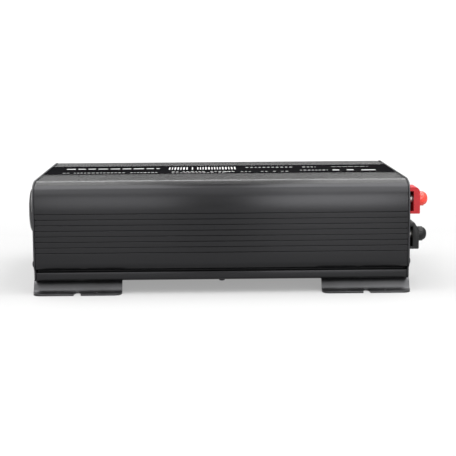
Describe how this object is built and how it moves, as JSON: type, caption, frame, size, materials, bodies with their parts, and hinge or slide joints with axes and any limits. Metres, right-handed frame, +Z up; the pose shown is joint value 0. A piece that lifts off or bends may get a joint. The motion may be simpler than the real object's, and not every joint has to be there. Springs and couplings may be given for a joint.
{
  "type": "power inverter",
  "caption": "Black extruded-aluminium power inverter on four bent feet, with battery terminals at one end and mains outlets at the other.",
  "frame": {"origin": "on the floor, under the middle of the whole object's outer box", "axes": "+X along the case towards the battery terminals, -Y towards the grooved front side, +Z up"},
  "size_m": [0.4012, 0.245, 0.1105],
  "materials": {
    "black_anodised": "black anodised extrusion, satin",
    "black_panel": "black powder coat, fine texture",
    "grey_foot": "dark grey satin finish on bent sheet",
    "label_film": "black printed film with plain pale bars",
    "black_plastic": "moulded, satin",
    "red_plastic": "moulded red, slightly glossy",
    "red_knob": "moulded orange red, glossy",
    "nickel_plate": "nickel plated, bright",
    "zinc_steel": "zinc plated",
    "black_screw": "black oxide",
    "brass_contact": "plain brass",
    "copper": "copper bar and enamelled copper wire",
    "plain_aluminium": "mill finish",
    "circuit_board": "green solder mask",
    "ferrite": "sintered ferrite",
    "capacitor_sleeve": "dark blue sleeve over a can",
    "green_lens": "clear tinted lens",
    "red_lens": "clear tinted lens"
  },
  "bodies": {
    "case": {"upper_shell": "black_anodised", "base_plate": "black_anodised", "ac_end_panel": "black_panel", "dc_end_panel": "black_panel", "foot_front_left": "grey_foot", "foot_front_right": "grey_foot", "foot_rear_left": "grey_foot", "foot_rear_right": "grey_foot", "top_label": "label_film", "positive_terminal_block": "red_plastic", "negative_terminal_block": "black_plastic", "positive_stud": "nickel_plate", "negative_stud": "nickel_plate", "earth_stud": "zinc_steel", "switch_bezel": "black_plastic", "usb_port": "nickel_plate", "remote_port": "black_plastic", "power_led": "green_lens", "fault_led": "red_lens", "fan_frame": "black_plastic", "fan_guard": "zinc_steel", "main_board": "circuit_board", "control_board": "circuit_board", "heat_sink_front": "plain_aluminium", "heat_sink_rear": "plain_aluminium", "transformer_core": "ferrite", "transformer_winding": "copper", "output_choke": "copper", "input_capacitor": "capacitor_sleeve", "bus_capacitor": "capacitor_sleeve", "positive_bus_bar": "copper", "negative_bus_bar": "copper", "fuse_block": "black_plastic", "base_screw_front": "black_screw", "base_screw_rear": "black_screw", "ac_screw_lower_front": "black_screw", "ac_screw_lower_rear": "black_screw", "ac_screw_upper_front": "black_screw", "ac_screw_upper_rear": "black_screw", "dc_screw_lower_front": "black_screw", "dc_screw_lower_rear": "black_screw", "dc_screw_upper_front": "black_screw", "dc_screw_upper_rear": "black_screw", "outlet_1_housing": "black_plastic", "outlet_1_earth_strap": "nickel_plate", "outlet_1_line_contact": "brass_contact", "outlet_1_neutral_contact": "brass_contact", "outlet_2_housing": "black_plastic", "outlet_2_earth_strap": "nickel_plate", "outlet_2_line_contact": "brass_contact", "outlet_2_neutral_contact": "brass_contact"},
    "switch_rocker": {"switch_rocker": "black_plastic"},
    "fan_rotor": {"fan_rotor": "black_plastic"},
    "positive_washer": {"positive_washer": "nickel_plate"},
    "positive_knob": {"positive_knob": "red_knob"},
    "negative_washer": {"negative_washer": "nickel_plate"},
    "negative_knob": {"negative_knob": "black_plastic"},
    "earth_washer": {"earth_washer": "zinc_steel"},
    "earth_nut": {"earth_nut": "zinc_steel"}
  },
  "joints": [
    {"name": "switch_rock", "type": "hinge", "parent": "case", "child": "switch_rocker", "pos_m": [-0.1897, 0.048, 0.0765], "axis": [0, 1, 0], "range_deg": [0, 18]},
    {"name": "fan_spin", "type": "hinge", "parent": "case", "child": "fan_rotor", "pos_m": [0.1588, 0.04, 0.0617], "axis": [1, 0, 0], "continuous": true},
    {"name": "positive_washer_slide", "type": "slide", "parent": "case", "child": "positive_washer", "axis": [1, 0, 0], "range_m": [0, 0.0025]},
    {"name": "positive_knob_turn", "type": "hinge", "parent": "positive_washer", "child": "positive_knob", "pos_m": [0.1908, -0.06, 0.0853], "axis": [1, 0, 0], "range_deg": [0, 900]},
    {"name": "negative_washer_slide", "type": "slide", "parent": "case", "child": "negative_washer", "axis": [1, 0, 0], "range_m": [0, 0.0025]},
    {"name": "negative_knob_turn", "type": "hinge", "parent": "negative_washer", "child": "negative_knob", "pos_m": [0.1908, -0.056, 0.0488], "axis": [1, 0, 0], "range_deg": [0, 900]},
    {"name": "earth_washer_slide", "type": "slide", "parent": "case", "child": "earth_washer", "axis": [1, 0, 0], "range_m": [0, 0.004]},
    {"name": "earth_nut_turn", "type": "hinge", "parent": "earth_washer", "child": "earth_nut", "pos_m": [0.1778, -0.028, 0.0755], "axis": [1, 0, 0], "range_deg": [0, 1440]}
  ],
  "couplings": [
    {"joint": "positive_knob_turn", "follows": "positive_washer_slide", "rad_per_m": 6283.1},
    {"joint": "negative_knob_turn", "follows": "negative_washer_slide", "rad_per_m": 6283.1},
    {"joint": "earth_nut_turn", "follows": "earth_washer_slide", "rad_per_m": 6283.1}
  ]
}
